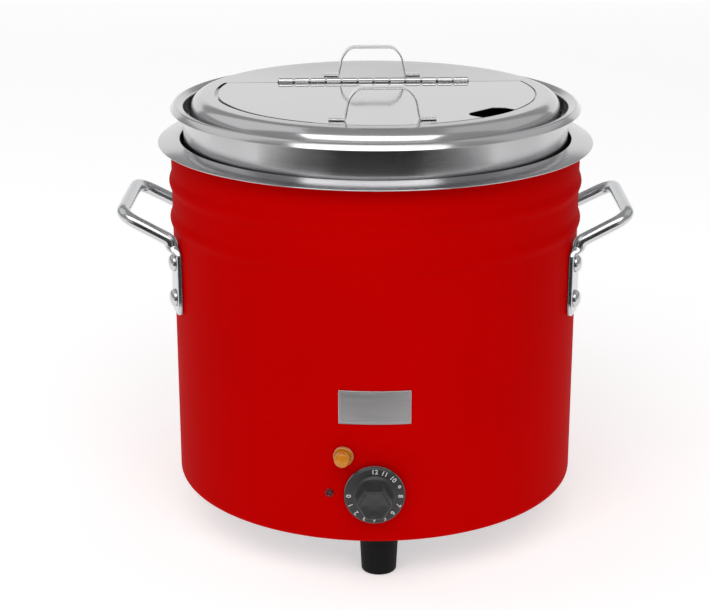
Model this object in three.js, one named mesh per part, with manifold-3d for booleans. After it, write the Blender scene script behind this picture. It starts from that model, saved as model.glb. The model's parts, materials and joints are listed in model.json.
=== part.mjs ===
// Soup kettle: a round wet-heat counter kettle with a lift-out inset pan and a hinged lid.
// Millimetres, +Z up, front towards -Y, origin on the vertical axis at table level.
import * as THREE from 'three';
import { mergeVertices } from 'three/addons/utils/BufferGeometryUtils.js';
import Module from 'manifold-3d';

const wasm = await Module();
wasm.setup();

// ---- driving dimensions ----
const SHEET = 0.8; // sheet steel of the shell, vessel, pan and lid
const GAP = 0.3; // clearance between pieces that touch
const FACETS = 40; // facets round the big turned pieces

const BODY_R = 160; // outside radius of the red shell
const BODY_BASE_Z = 36;
const BODY_TOP_Z = 310.2;
const BEAD_Z = [250, 279.5]; // the two rolled beads round the shell
const BEAD_HALF = 8;
const BEAD_OUT = 2;

const BRIM_R = 169.2; // outer edge of the water vessel's brim
const BRIM_EDGE_Z = 310;
const BRIM_INNER_Z = 313.3;
const VESSEL_R = 153.3;
const VESSEL_FLOOR_Z = 166.8;

const PAN_R = 149.8; // outside radius of the inset pan's wall
const PAN_FLOOR_Z = VESSEL_FLOOR_Z + SHEET + GAP;
const PAN_RIM_R = 159.4;
const PAN_RIM_Z = 336.5; // where the rolled rim is widest
const PAN_RIM_CREST = 3.9; // from there up to its crest
const PAN_BEAD_Z = 319.2; // small inward bead that the lid rests on

const LID_TOP_Z = 346;
const LID_TURN = THREE.MathUtils.degToRad(2.7); // the lid sits slightly turned in the pan
const LID_FLANGE_Z = PAN_BEAD_Z + 1.5;
const LID_FLANGE_R = 148;
const LID_FLAT_R = 132.8; // where the lid's flat top turns into its round shoulder
const LID_SHOULDER_R = 9.6;
const LID_STEP_R = 124.8; // recess that the flap lies in
const LID_OPENING_R = 119.8;
const FLAP_R = 123.8;
const FLAP_SHEET = 1.2;
const NOTCH_AZIMUTH = THREE.MathUtils.degToRad(-45);
const NOTCH_HALF = 19.5;
const NOTCH_INNER_R = 105;
const NOTCH_CORNER = 8;

const HINGE_Y = 38.5;
const HINGE_Z = LID_TOP_Z + 1.3;
const HINGE_LENGTH = 152.4;
const KNUCKLES = 12;
const KNUCKLE_R = 2.5;
const PIN_R = 1.1;
const LEAF_WIDTH = 12;

const STRAP_WIDTH = 12;
const STRAP_THICK = 1.4;
const STRAP_HEIGHT = 24;
const STRAP_HALF_LENGTH = 39;
const FLAP_HANDLE_Y = -103.5;
const REAR_HANDLE_Y = 67;

const GRIP_X = 195; // centre line of the side handles' grips
const GRIP_Z = 260;
const GRIP_HALF = 50.5;
const ROD_R = 5;
const TAB_AZIMUTH = THREE.MathUtils.degToRad(18.6); // of the flattened rod ends, from the X axis
const TAB_WIDTH = 22;
const TAB_THICK = 3.6;
const TAB_Z = [182.3, 236];
const RIVET_Z = [194, 222.4];

const DIAL_Z = 77.2;
const DIAL_R = 22.5;
const DIAL_BACK_Y = -162.2;
const DIAL_SKIRT = 3.8;
const DIAL_FRONT_Y = -184;
const SPINDLE_R = 3;
const FIXING_X = 14; // thermostat fixing screws, either side of the spindle
const THERMOSTAT_HALF_WIDTH = 18;
const THERMOSTAT_HALF_HEIGHT = 19;
const LAMP_AZIMUTH = THREE.MathUtils.degToRad(-7.8);
const LAMP_Z = 106;
const INDEX_AZIMUTH = THREE.MathUtils.degToRad(-12);
const INDEX_Z = 75.6;
const BADGE_Z = 144.6;
const BADGE_HALF_WIDTH = 26.2;
const BADGE_HALF_HEIGHT = 12.9;

const FOOT_RING_R = 128;
const FOOT_R = 15.2;
const FOOT_TURN = THREE.MathUtils.degToRad(1.5); // how far the three feet stand round from the front
const BASE_FLANGE_R = 145;
const GLAND_Z = 62;
const GLAND_END_Y = -DIAL_FRONT_Y;
const STUD_R = 4; // the stud under the vessel's floor that clamps the element
const ELEMENT_R = 92;
const ELEMENT_THICK = 4;
const CLAMP_R = 96;
const CLAMP_THICK = 2;

const SCREW_HOLE_R = 2.4;
const FOOT_SCREW_HOLE_R = 2.6;
const SPINDLE_HOLE_R = 5;
const LAMP_HOLE_R = 5.2;
const INDEX_HOLE_R = 1.9;
const GLAND_HOLE_R = 8.4;

// ---- materials ----
function paint(color, roughness, metalness) {
  return new THREE.MeshStandardMaterial({ color, roughness, metalness });
}

const RED = () => paint(0xbe0000, 0.4, 0.0);
const STEEL = () => paint(0xcfcfd2, 0.25, 1.0);
const POLISHED = () => paint(0xd8dadd, 0.12, 1.0);
const BLACK = () => paint(0x202224, 0.5, 0.0);
const AMBER = () => paint(0xe08a10, 0.25, 0.0);
const BRASS = () => paint(0xc8a050, 0.35, 1.0);
const CREAM = () => paint(0xd9d2bd, 0.6, 0.0);
const SILVER = () => paint(0xb9babd, 0.35, 0.8);

// ---- solids ----
function signedVolume(position, index) {
  let volume = 0;
  const corner = (i) => new THREE.Vector3().fromArray(position, index[i] * 3);
  for (let i = 0; i < index.length; i += 3) {
    volume += corner(i).dot(corner(i + 1).cross(corner(i + 2)));
  }
  return volume;
}

// A closed solid of any closed three.js geometry, with its faces pointing out.
function solid(geometry) {
  const bare = geometry.clone();
  bare.deleteAttribute('normal');
  bare.deleteAttribute('uv');
  const merged = mergeVertices(bare, 1e-4);
  const position = Float32Array.from(merged.getAttribute('position').array);
  const source = merged.getIndex().array;
  const kept = [];
  for (let i = 0; i < source.length; i += 3) {
    const [a, b, c] = [source[i], source[i + 1], source[i + 2]];
    if (a !== b && b !== c && c !== a) kept.push(a, b, c);
  }
  if (signedVolume(position, kept) < 0) kept.reverse();
  const triVerts = Uint32Array.from(kept);
  return new wasm.Manifold(new wasm.Mesh({ numProp: 3, vertProperties: position, triVerts }));
}

function geometryOf(manifold) {
  const mesh = manifold.getMesh();
  const geometry = new THREE.BufferGeometry();
  geometry.setAttribute('position', new THREE.BufferAttribute(Float32Array.from(mesh.vertProperties), 3));
  geometry.setIndex(new THREE.BufferAttribute(Uint32Array.from(mesh.triVerts), 1));
  geometry.computeVertexNormals();
  return geometry;
}

// A solid of revolution about Z from a closed outline of [radius, height] points.
function turned(outline, facets = FACETS) {
  const points = outline.map(([r, z]) => new THREE.Vector2(r, z));
  if (outline[0][0] !== 0) points.push(points[0].clone());
  return solid(new THREE.LatheGeometry(points, facets).rotateX(Math.PI / 2));
}

// The same, about a radial axis of the body: outline heights become distances from the Z axis.
function turnedRadially(outline, azimuth, z, facets = 16) {
  const matrix = radialMatrix(azimuth, z);
  return turned(outline, facets).transform(matrix.elements);
}

// Takes local +Z to the horizontal direction at an azimuth measured from the front (-Y).
function radialMatrix(azimuth, z) {
  const matrix = new THREE.Matrix4().makeTranslation(0, 0, z);
  matrix.multiply(new THREE.Matrix4().makeRotationZ(azimuth));
  return matrix.multiply(new THREE.Matrix4().makeRotationX(Math.PI / 2));
}

function box(low, high) {
  const size = high.map((value, axis) => value - low[axis]);
  const centre = high.map((value, axis) => (value + low[axis]) / 2);
  return solid(new THREE.BoxGeometry(...size).translate(...centre));
}

function rod(radius, zLow, zHigh, facets = 12) {
  return turned([[0, zLow], [radius, zLow], [radius, zHigh], [0, zHigh]], facets);
}

function slab(shape, zLow, thickness, curveSegments = 12) {
  const options = { depth: thickness, bevelEnabled: false, curveSegments };
  return solid(new THREE.ExtrudeGeometry(shape, options).translate(0, 0, zLow));
}

// A round bar along a curve, with flat ends.
function bar(curve, radius, steps, sides) {
  const section = new THREE.Shape();
  for (let side = 0; side < sides; side += 1) {
    const angle = (2 * Math.PI * side) / sides;
    const corner = [radius * Math.cos(angle), radius * Math.sin(angle)];
    if (side === 0) section.moveTo(...corner);
    else section.lineTo(...corner);
  }
  return solid(new THREE.ExtrudeGeometry(section, { steps, extrudePath: curve, bevelEnabled: false }));
}

function mesh(name, shape, material) {
  const result = new THREE.Mesh(geometryOf(shape), material);
  result.name = name;
  return result;
}

// ---- rivets ----
// A domed rivet set in from outside: head on the face at seat, shank and tail inside.
function rivetOutline(headR, headHeight, shankR, seat, tail) {
  const tailR = shankR * 1.55;
  return [
    [0, tail - 1.2], [tailR, tail - 1.2], [tailR, tail], [shankR, tail], [shankR, seat],
    [headR, seat], [headR * 0.94, seat + headHeight * 0.42], [headR * 0.66, seat + headHeight * 0.84],
    [0, seat + headHeight],
  ];
}

const shellInside = BODY_R - SHEET;
const tabFace = BODY_R + GAP + TAB_THICK;
// Azimuths from the front of the four flattened handle ends, right side then left side.
const TAB_AZIMUTHS = [1, -1].flatMap((side) =>
  [-1, 1].map((end) => side * (Math.PI / 2 + end * TAB_AZIMUTH)));
const SHANK_R = 2.4;
const SHANK_HOLE_R = 2.8;

function handleRivets() {
  const outline = rivetOutline(7, 4.4, SHANK_R, tabFace + GAP, shellInside - 1);
  const rivets = [];
  TAB_AZIMUTHS.forEach((azimuth, tab) => {
    RIVET_Z.forEach((z, row) => {
      const side = tab < 2 ? 'right' : 'left';
      const name = `${side}_handle_rivet_${(tab % 2) * 2 + row + 1}`;
      rivets.push(mesh(name, turnedRadially(outline, azimuth, z, 10), POLISHED()));
    });
  });
  return rivets;
}

function radialHole(radius, azimuth, z) {
  return turnedRadially([[0, 140], [radius, 140], [radius, 175], [0, 175]], azimuth, z, 10);
}

// ---- red outer shell ----
function beadPoints(z, radius) {
  const shares = [[-1, 0], [-0.45, 0.8], [0, 1], [0.45, 0.8], [1, 0]];
  return shares.map(([along, out]) => [radius + BEAD_OUT * out, z + BEAD_HALF * along]);
}

function shellSide(radius, corner) {
  const beads = BEAD_Z.flatMap((z) => beadPoints(z, radius));
  return [
    [radius - 1.3, BODY_BASE_Z + corner - 3], [radius, BODY_BASE_Z + corner], ...beads, [radius, BODY_TOP_Z],
  ];
}

function outerShell() {
  const outside = [[BASE_FLANGE_R, BODY_BASE_Z], [BODY_R - 4.5, BODY_BASE_Z], ...shellSide(BODY_R, 4.5)];
  const floor = BODY_BASE_Z + SHEET;
  const inside = [[BASE_FLANGE_R, floor], [BODY_R - 4.7, floor], ...shellSide(shellInside, 4.7)];
  let shell = turned([...outside, ...inside.reverse()]);
  TAB_AZIMUTHS.forEach((azimuth) => RIVET_Z.forEach((z) => {
    shell = shell.subtract(radialHole(SHANK_HOLE_R, azimuth, z));
  }));
  shell = shell.subtract(radialHole(SPINDLE_HOLE_R, 0, DIAL_Z));
  shell = shell.subtract(radialHole(LAMP_HOLE_R, LAMP_AZIMUTH, LAMP_Z));
  shell = shell.subtract(radialHole(INDEX_HOLE_R, INDEX_AZIMUTH, INDEX_Z));
  shell = shell.subtract(radialHole(GLAND_HOLE_R, Math.PI, GLAND_Z));
  fixingScrewMatrices().forEach((matrix) => {
    shell = shell.subtract(rod(SCREW_HOLE_R, 140, 175).transform(matrix.elements));
  });
  BASE_SCREW_AZIMUTHS.forEach((azimuth) => {
    shell = shell.subtract(rod(SCREW_HOLE_R, 30, 45).translate(onCircle(BASE_SCREW_R, azimuth)));
  });
  return mesh('outer_shell', shell, RED());
}

function onCircle(radius, azimuth, z = 0) {
  return [radius * Math.sin(azimuth), -radius * Math.cos(azimuth), z];
}

// ---- base plate, feet and their screws ----
const BASE_SCREW_R = 150;
const BASE_SCREW_AZIMUTHS = [1, 3, 5].map((step) => (step * Math.PI) / 3);
const FOOT_AZIMUTHS = [0, 2, 4].map((step) => FOOT_TURN + (step * Math.PI) / 3);
const BASE_PLATE_Z = BODY_BASE_Z + SHEET + GAP;
const BASE_PLATE_R = 154;
const BASE_PLATE_THICK = 1.2;

function basePlate() {
  let plate = rod(BASE_PLATE_R, BASE_PLATE_Z, BASE_PLATE_Z + BASE_PLATE_THICK, FACETS);
  FOOT_AZIMUTHS.forEach((azimuth) => {
    plate = plate.subtract(rod(FOOT_SCREW_HOLE_R, 30, 45).translate(onCircle(FOOT_RING_R, azimuth)));
  });
  BASE_SCREW_AZIMUTHS.forEach((azimuth) => {
    plate = plate.subtract(rod(SCREW_HOLE_R, 30, 45).translate(onCircle(BASE_SCREW_R, azimuth)));
  });
  return mesh('base_plate', plate, STEEL());
}

function feet() {
  const top = BASE_PLATE_Z - GAP;
  const outline = [
    [6.5, 0], [12, 0], [13.2, 0.5], [13.5, 2], [FOOT_R, top - 2], [FOOT_R - 0.6, top],
    [2.9, top], [2.9, 12], [6.5, 12],
  ];
  const screw = [
    [0, 8.2], [5, 8.2], [5, 11.7], [2.2, 11.7], [2.2, top + 9], [0, top + 9],
  ];
  return FOOT_AZIMUTHS.flatMap((azimuth, index) => {
    const place = onCircle(FOOT_RING_R, azimuth);
    return [
      mesh(`foot_${index + 1}`, turned(outline, 16).translate(place), BLACK()),
      mesh(`foot_screw_${index + 1}`, turned(screw, 10).translate(place), STEEL()),
    ];
  });
}

function baseScrews() {
  const outline = [
    [0, 33.6], [3.6, 33.6], [3.9, BODY_BASE_Z - GAP], [2, BODY_BASE_Z - GAP], [2, 44], [0, 44],
  ];
  return BASE_SCREW_AZIMUTHS.map((azimuth, index) =>
    mesh(`base_screw_${index + 1}`, turned(outline, 10).translate(onCircle(BASE_SCREW_R, azimuth)), STEEL()));
}

// ---- water vessel and what is clamped under its floor ----
function waterVessel() {
  const inside = VESSEL_R - SHEET;
  const outline = [
    [0, VESSEL_FLOOR_Z], [VESSEL_R - 6, VESSEL_FLOOR_Z], [VESSEL_R, VESSEL_FLOOR_Z + 6],
    [VESSEL_R, BRIM_INNER_Z - 1.3], [BRIM_R - 1.4, BRIM_EDGE_Z - 0.9], [BRIM_R, BRIM_EDGE_Z - 0.7],
    [BRIM_R, BRIM_EDGE_Z + 0.2], [BRIM_R - 1.4, BRIM_EDGE_Z + 0.7], [VESSEL_R + 0.4, BRIM_INNER_Z + 0.1],
    [inside + 0.2, BRIM_INNER_Z - 0.1], [inside, BRIM_INNER_Z - 1], [inside, VESSEL_FLOOR_Z + 6.4],
    [inside - 5.7, VESSEL_FLOOR_Z + SHEET], [0, VESSEL_FLOOR_Z + SHEET],
  ];
  const stud = rod(STUD_R, VESSEL_FLOOR_Z - 24, VESSEL_FLOOR_Z + 0.4, 12);
  return mesh('water_vessel', turned(outline).add(stud), STEEL());
}

function heaterGroup() {
  const top = VESSEL_FLOOR_Z - GAP;
  const ring = [[8, top - ELEMENT_THICK], [ELEMENT_R, top - ELEMENT_THICK], [ELEMENT_R, top], [8, top]];
  let heater = turned(ring, 24);
  [-8, 8].forEach((y) => {
    heater = heater.add(box([ELEMENT_R - 4, y - 3, top - 3], [ELEMENT_R + 12, y + 3, top - 2]));
  });
  const clampTop = top - ELEMENT_THICK - GAP;
  const clampLow = clampTop - CLAMP_THICK;
  const clamp = turned([[5, clampLow], [CLAMP_R, clampLow], [CLAMP_R, clampTop], [5, clampTop]], 24);
  const nutTop = clampLow - GAP;
  const nut = turned([[4.9, nutTop - 6.5], [8, nutTop - 6.5], [8, nutTop], [4.9, nutTop]], 6);
  return [
    mesh('heating_element', heater, CREAM()),
    mesh('element_clamp_plate', clamp, STEEL()),
    mesh('element_clamp_nut', nut, BRASS()),
  ];
}

function cutOut() {
  const top = VESSEL_FLOOR_Z - GAP;
  const outline = [[0, top - 11], [8, top - 11], [8, top - 3], [12, top - 3], [12, top], [0, top]];
  return mesh('high_limit_cutout', turned(outline, 16).translate([115, 30, 0]), BLACK());
}

// ---- thermostat, its spindle, dial, fixing screws and bulb ----
function fixingScrewMatrices() {
  return [-FIXING_X, FIXING_X].map((x) =>
    new THREE.Matrix4().makeTranslation(x, 0, 0).multiply(radialMatrix(0, DIAL_Z)));
}

function thermostat() {
  const low = [-THERMOSTAT_HALF_WIDTH, -156.6, DIAL_Z - THERMOSTAT_HALF_HEIGHT];
  const high = [THERMOSTAT_HALF_WIDTH, -128, DIAL_Z + THERMOSTAT_HALF_HEIGHT];
  let body = box(low, high);
  body = body.subtract(rod(SPINDLE_R + 0.5, 148, 170).transform(radialMatrix(0, DIAL_Z).elements));
  fixingScrewMatrices().forEach((matrix) => {
    body = body.subtract(rod(2.3, 146, 170).transform(matrix.elements));
  });
  const screwOutline = [
    [0, 148], [1.9, 148], [1.9, 160.2], [3.6, 160.2], [3.3, 161.6], [0, 161.6],
  ];
  const screws = fixingScrewMatrices().map((matrix, index) =>
    mesh(`thermostat_screw_${index + 1}`, turned(screwOutline, 10).transform(matrix.elements), STEEL()));
  return [mesh('thermostat_body', body, CREAM()), ...screws];
}

function thermostatBulb() {
  const bulbZ = VESSEL_FLOOR_Z - 4;
  const bulb = new THREE.Matrix4().makeTranslation(0, -108, bulbZ);
  bulb.multiply(new THREE.Matrix4().makeRotationY(Math.PI / 2));
  const route = new THREE.CatmullRomCurve3([
    new THREE.Vector3(44, -108, bulbZ), new THREE.Vector3(62, -110, bulbZ - 4),
    new THREE.Vector3(66, -118, 130), new THREE.Vector3(40, -132, 108),
    new THREE.Vector3(8, -140, 105), new THREE.Vector3(4, -141, DIAL_Z + THERMOSTAT_HALF_HEIGHT + 3 * GAP),
  ]);
  const shape = rod(3, -46, 46, 12).transform(bulb.elements).add(bar(route, 0.9, 14, 6));
  return mesh('thermostat_bulb', shape, BRASS());
}

function spindle() {
  const outline = [[0, 149], [SPINDLE_R, 149], [SPINDLE_R, 176], [0, 176]];
  return mesh('thermostat_spindle', turnedRadially(outline, 0, DIAL_Z, 14), STEEL());
}

function dialKnob() {
  const [back, front] = [-DIAL_BACK_Y, -DIAL_FRONT_Y];
  const skirtTop = back + DIAL_SKIRT;
  const skirt = turned([
    [0, back], [DIAL_R, back], [DIAL_R, skirtTop - 1], [DIAL_R - 1, skirtTop], [0, skirtTop],
  ], 28);
  const hub = turned([
    [0, skirtTop - 1], [15, skirtTop - 1], [12.8, front - 1.2], [11.6, front], [0, front],
  ], 6).rotate([0, 0, 30]);
  const hole = rod(SPINDLE_R + 0.4, back - 1, 176.6, 14);
  const knob = skirt.add(hub).subtract(hole).transform(radialMatrix(0, DIAL_Z).elements);
  return mesh('dial_knob', knob, BLACK());
}

// ---- pilot lamp, index rivet and badge ----
function pilotLamp() {
  const face = BODY_R + GAP;
  const bezel = [
    [3, 142], [4.9, 142], [4.9, face], [7.5, face], [7.5, face + 1.6], [6.9, face + 2.6], [3, face + 2.6],
  ];
  const seat = face + 2.6 + GAP;
  const lens = [
    [0, 152], [2.6, 152], [2.6, seat], [5.75, seat], [5.75, seat + 5.6], [5, seat + 7], [3, seat + 7.8],
    [0, seat + 8.1],
  ];
  const clip = [[5.2, 153.5], [8, 153.5], [8, 155], [5.2, 155]];
  return [
    mesh('pilot_lamp_bezel', turnedRadially(bezel, LAMP_AZIMUTH, LAMP_Z, 16), AMBER()),
    mesh('pilot_lamp_lens', turnedRadially(lens, LAMP_AZIMUTH, LAMP_Z, 12), AMBER()),
    mesh('pilot_lamp_clip', turnedRadially(clip, LAMP_AZIMUTH, LAMP_Z, 12), STEEL()),
  ];
}

function indexRivet() {
  const outline = rivetOutline(3.2, 1.5, 1.5, BODY_R + GAP, shellInside - 1);
  return mesh('index_rivet', turnedRadially(outline, INDEX_AZIMUTH, INDEX_Z, 10), STEEL());
}

function nameBadge() {
  const inner = BODY_R + 0.45;
  const half = Math.asin(BADGE_HALF_WIDTH / BODY_R);
  const front = -Math.PI / 2;
  const shape = new THREE.Shape();
  shape.absarc(0, 0, inner, front - half, front + half, false);
  shape.absarc(0, 0, inner + SHEET, front + half, front - half, true);
  const plate = slab(shape, BADGE_Z - BADGE_HALF_HEIGHT, 2 * BADGE_HALF_HEIGHT, 10);
  return mesh('name_badge', plate, SILVER());
}

// ---- mains inlet and wiring ----
function inlet() {
  const face = BODY_R + GAP;
  const gland = [
    [3.8, 150], [8, 150], [8, face], [12, face], [12, face + 5], [10.5, face + 5.6],
    [10.5, GLAND_END_Y - 6], [7, GLAND_END_Y], [3.8, GLAND_END_Y],
  ];
  const nut = [[9.6, 152], [13, 152], [13, 157], [9.6, 157]];
  const block = box([-22, 104, 38.8], [22, 122, 56]);
  return [
    mesh('cable_gland', turnedRadially(gland, Math.PI, GLAND_Z, 12), BLACK()),
    mesh('gland_nut', turnedRadially(nut, Math.PI, GLAND_Z, 6), BLACK()),
    mesh('terminal_block', block, CREAM()),
    mesh('earth_stud', turned([[0, 38.8], [5, 38.8], [5, 42], [2.4, 42], [2.4, 54], [0, 54]], 12)
      .translate([44, 112, 0]), BRASS()),
  ];
}

function leads() {
  const routes = {
    lead_supply_to_thermostat: [
      [-14, 113, 56.3], [-16, 104, 90], [-50, 30, 110], [-16, -108, 86], [-10, -126.8, 84],
    ],
    lead_thermostat_to_element: [
      [10, -126.8, 84], [16, -108, 88], [98, -30, 130], [101, -9, 155], [101, -8, 162.6],
    ],
    lead_supply_to_cutout: [[14, 113, 56.3], [20, 104, 90], [80, 60, 120], [113, 34, 140], [115, 30, 155.2]],
  };
  return Object.entries(routes).map(([name, points]) => {
    const route = new THREE.CatmullRomCurve3(points.map((point) => new THREE.Vector3(...point)));
    return mesh(name, bar(route, 1.3, 12, 6), BLACK());
  });
}

// ---- side handles ----
// The right handle; the left one is the same piece turned half a turn.
function sideHandle(name, turn) {
  const tabRadius = BODY_R + GAP + ROD_R + 0.4;
  const tabX = tabRadius * Math.cos(TAB_AZIMUTH);
  const tabY = tabRadius * Math.sin(TAB_AZIMUTH);
  const corner = 15;
  const shoulder = 6;
  const path = new THREE.CurvePath();
  const at = (x, y, z) => new THREE.Vector3(x, y, z);
  const grip = (end) => at(GRIP_X, end * GRIP_HALF, GRIP_Z);
  const foot = (end) => at(tabX, end * tabY, TAB_Z[1] + 4);
  const low = (end) => at(tabX, end * tabY, TAB_Z[1] - 4);
  const toward = (from, to, distance) => from.clone().add(to.clone().sub(from).setLength(distance));
  const bend = (from, middle, to, size) => {
    path.add(new THREE.LineCurve3(from, toward(middle, from, size)));
    path.add(new THREE.QuadraticBezierCurve3(toward(middle, from, size), middle, toward(middle, to, size)));
    return toward(middle, to, size);
  };
  let end = bend(low(-1), foot(-1), grip(-1), shoulder);
  end = bend(end, grip(-1), grip(1), corner);
  end = bend(end, grip(1), foot(1), corner);
  end = bend(end, foot(1), low(1), shoulder);
  path.add(new THREE.LineCurve3(end, low(1)));
  let handle = bar(path, ROD_R, 30, 8);
  [-1, 1].forEach((side) => {
    handle = handle.add(handleTab(side));
  });
  [-1, 1].forEach((side) => RIVET_Z.forEach((z) => {
    handle = handle.subtract(radialHole(SHANK_HOLE_R, Math.PI / 2 + side * TAB_AZIMUTH, z));
  }));
  return mesh(name, handle.rotate([0, 0, turn]), POLISHED());
}

function handleTab(side) {
  const half = TAB_WIDTH / 2;
  const round = 5;
  const [low, high] = TAB_Z;
  const shape = new THREE.Shape();
  shape.moveTo(-half, low + round);
  shape.quadraticCurveTo(-half, low, -half + round, low);
  shape.lineTo(half - round, low);
  shape.quadraticCurveTo(half, low, half, low + round);
  shape.lineTo(half, high - 10);
  shape.lineTo(ROD_R - 0.4, high);
  shape.lineTo(-ROD_R + 0.4, high);
  shape.lineTo(-half, high - 10);
  shape.closePath();
  const options = { depth: TAB_THICK, bevelEnabled: false, curveSegments: 3 };
  const plate = new THREE.ExtrudeGeometry(shape, options);
  plate.rotateX(Math.PI / 2).translate(0, -(BODY_R + GAP), 0);
  return solid(plate.rotateZ(Math.PI / 2 + side * TAB_AZIMUTH));
}

// ---- inset pan ----
function insetPan() {
  const inside = PAN_R - SHEET;
  const crest = PAN_RIM_Z + PAN_RIM_CREST;
  const outline = [
    [0, PAN_FLOOR_Z], [PAN_R - 6, PAN_FLOOR_Z], [PAN_R, PAN_FLOOR_Z + 6], [PAN_R, PAN_RIM_Z - 3],
    [PAN_R + 1.4, PAN_RIM_Z - 0.8], [PAN_RIM_R - 4, PAN_RIM_Z - 0.4], [PAN_RIM_R - 1.4, PAN_RIM_Z - 1.2],
    [PAN_RIM_R - 0.2, PAN_RIM_Z - 0.9], [PAN_RIM_R, PAN_RIM_Z], [PAN_RIM_R - 1.6, crest - 1.7],
    [PAN_RIM_R - 5, crest - 0.4], [PAN_RIM_R - 8, crest], [inside + 0.5, crest - 1],
    [inside, crest - 2.8], [inside, PAN_BEAD_Z + 1.3], [inside - 1.8, PAN_BEAD_Z + 0.9],
    [inside - 1.8, PAN_BEAD_Z - 0.9], [inside, PAN_BEAD_Z - 2], [inside, PAN_FLOOR_Z + 6.4],
    [inside - 5.7, PAN_FLOOR_Z + SHEET], [0, PAN_FLOOR_Z + SHEET],
  ];
  return mesh('inset_pan', turned(outline), STEEL());
}

// ---- lid ----
// The quarter round where the lid turns down into its skirt; radius is the arc's own.
function lidShoulder(radius) {
  return [0, 22, 44, 66, 86].map((degrees) => {
    const turn = THREE.MathUtils.degToRad(degrees);
    const centreZ = LID_TOP_Z - LID_SHOULDER_R;
    return [LID_FLAT_R + radius * Math.sin(turn), centreZ + radius * Math.cos(turn)];
  });
}

function lidRing() {
  const under = LID_TOP_Z - 1;
  const ledge = LID_TOP_Z - FLAP_SHEET - GAP;
  const outline = [
    [LID_OPENING_R, ledge - 1], [LID_STEP_R + 1, ledge - 1], [LID_STEP_R + 1, under],
    ...lidShoulder(LID_SHOULDER_R - 1), [LID_FLANGE_R - 3, LID_FLANGE_Z], [LID_FLANGE_R, LID_FLANGE_Z],
    [LID_FLANGE_R, LID_FLANGE_Z + 0.9], [LID_FLANGE_R - 1.8, LID_FLANGE_Z + 1.2],
    ...lidShoulder(LID_SHOULDER_R).reverse(), [LID_STEP_R, LID_TOP_Z], [LID_STEP_R, ledge],
    [LID_OPENING_R, ledge],
  ];
  const rearCut = box([-140, HINGE_Y + GAP, 340], [140, 140, 350]);
  const core = rod(LID_STEP_R + 1, 340, 350, FACETS);
  const plate = slab(rearPlateShape(), under, 1, 24);
  return mesh('lid_ring', turned(outline).subtract(core.intersect(rearCut)).add(plate), STEEL());
}

// The lid's fixed rear panel: a segment behind the hinge line, set back along the knuckles.
function rearPlateShape() {
  const radius = LID_STEP_R + 1.8;
  const edge = HINGE_Y + GAP;
  const back = HINGE_Y + KNUCKLE_R + GAP;
  const half = HINGE_LENGTH / 2 + GAP;
  const start = Math.asin(edge / radius);
  const shape = new THREE.Shape();
  shape.absarc(0, 0, radius, start, Math.PI - start, false);
  shape.lineTo(-half, edge);
  shape.lineTo(-half, back);
  shape.lineTo(half, back);
  shape.lineTo(half, edge);
  shape.closePath();
  return shape;
}

function lidFlap() {
  const edge = HINGE_Y - GAP;
  const back = HINGE_Y - KNUCKLE_R - GAP;
  const half = HINGE_LENGTH / 2 + GAP;
  const end = Math.asin(edge / FLAP_R);
  const notchHalfAngle = Math.asin(NOTCH_HALF / FLAP_R);
  const shape = new THREE.Shape();
  shape.absarc(0, 0, FLAP_R, -Math.PI - end, NOTCH_AZIMUTH - notchHalfAngle, false);
  const inward = new THREE.Vector2(-Math.cos(NOTCH_AZIMUTH), -Math.sin(NOTCH_AZIMUTH));
  const across = new THREE.Vector2(inward.y, -inward.x);
  const at = (radius, side) => inward.clone().multiplyScalar(-radius).addScaledVector(across, side);
  const inner = NOTCH_INNER_R;
  const rounded = (corner, next) => shape.quadraticCurveTo(corner.x, corner.y, next.x, next.y);
  const straight = (point) => shape.lineTo(point.x, point.y);
  straight(at(inner + NOTCH_CORNER, -NOTCH_HALF));
  rounded(at(inner, -NOTCH_HALF), at(inner, -NOTCH_HALF + NOTCH_CORNER));
  straight(at(inner, NOTCH_HALF - NOTCH_CORNER));
  rounded(at(inner, NOTCH_HALF), at(inner + NOTCH_CORNER, NOTCH_HALF));
  shape.absarc(0, 0, FLAP_R, NOTCH_AZIMUTH + notchHalfAngle, end, false);
  shape.lineTo(half, edge);
  shape.lineTo(half, back);
  shape.lineTo(-half, back);
  shape.lineTo(-half, edge);
  shape.closePath();
  return mesh('lid_flap', slab(shape, LID_TOP_Z - FLAP_SHEET, FLAP_SHEET, 16), STEEL());
}

// One leaf of the piano hinge: side +1 is the lid's, behind the pin, and -1 the flap's.
function hingeLeaf(name, side) {
  const pitch = HINGE_LENGTH / KNUCKLES;
  const top = LID_TOP_Z - FLAP_SHEET - GAP;
  const near = HINGE_Y + side * (KNUCKLE_R - 0.4);
  const far = HINGE_Y + side * (KNUCKLE_R + LEAF_WIDTH);
  const half = HINGE_LENGTH / 2;
  const [yLow, yHigh] = [Math.min(near, far), Math.max(near, far)];
  let leaf = box([-half, yLow, top - 1], [half, yHigh, top]);
  const ring = [[PIN_R + 0.3, 0], [KNUCKLE_R, 0], [KNUCKLE_R, pitch - GAP], [PIN_R + 0.3, pitch - GAP]];
  const knuckle = turned(ring, 8).rotate([0, 90, 0]).translate([0, HINGE_Y, HINGE_Z]);
  const tongueY = [HINGE_Y + side * 0.5, near + side * 0.5];
  for (let index = side > 0 ? 0 : 1; index < KNUCKLES; index += 2) {
    const x = -half + index * pitch + GAP / 2;
    const tongue = box(
      [x, Math.min(...tongueY), top - 1], [x + pitch - GAP, Math.max(...tongueY), HINGE_Z - KNUCKLE_R + 0.5]);
    leaf = leaf.add(knuckle.translate([x, 0, 0])).add(tongue);
  }
  return mesh(name, leaf, STEEL());
}

function hingePin() {
  const half = HINGE_LENGTH / 2;
  const pin = rod(PIN_R, -half, half, 10).rotate([0, 90, 0]);
  return mesh('hinge_pin', pin.translate([0, HINGE_Y, HINGE_Z]), STEEL());
}

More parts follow.
